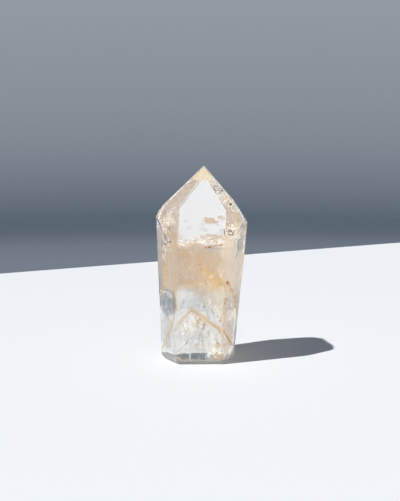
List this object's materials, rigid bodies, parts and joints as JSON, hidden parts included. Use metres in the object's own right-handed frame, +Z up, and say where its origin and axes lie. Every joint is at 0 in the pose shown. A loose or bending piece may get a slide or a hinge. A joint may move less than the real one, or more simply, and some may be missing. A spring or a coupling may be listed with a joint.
{
  "type": "phantom quartz tower",
  "caption": "Polished free-standing tower of clear quartz with a flaring hexagonal body, a pointed top with one large front facet and pale gold phantom layers inside.",
  "frame": {"origin": "on the surface that the tower stands on, below the middle of its bounding box", "axes": "+Z up towards the tip, -Y towards the large front facet, +X to the right of that facet as the viewer faces it"},
  "size_m": [0.0326, 0.0218, 0.0698],
  "materials": {
    "quartz": "polished"
  },
  "bodies": {
    "root": {"crystal": "quartz"}
  },
  "joints": []
}
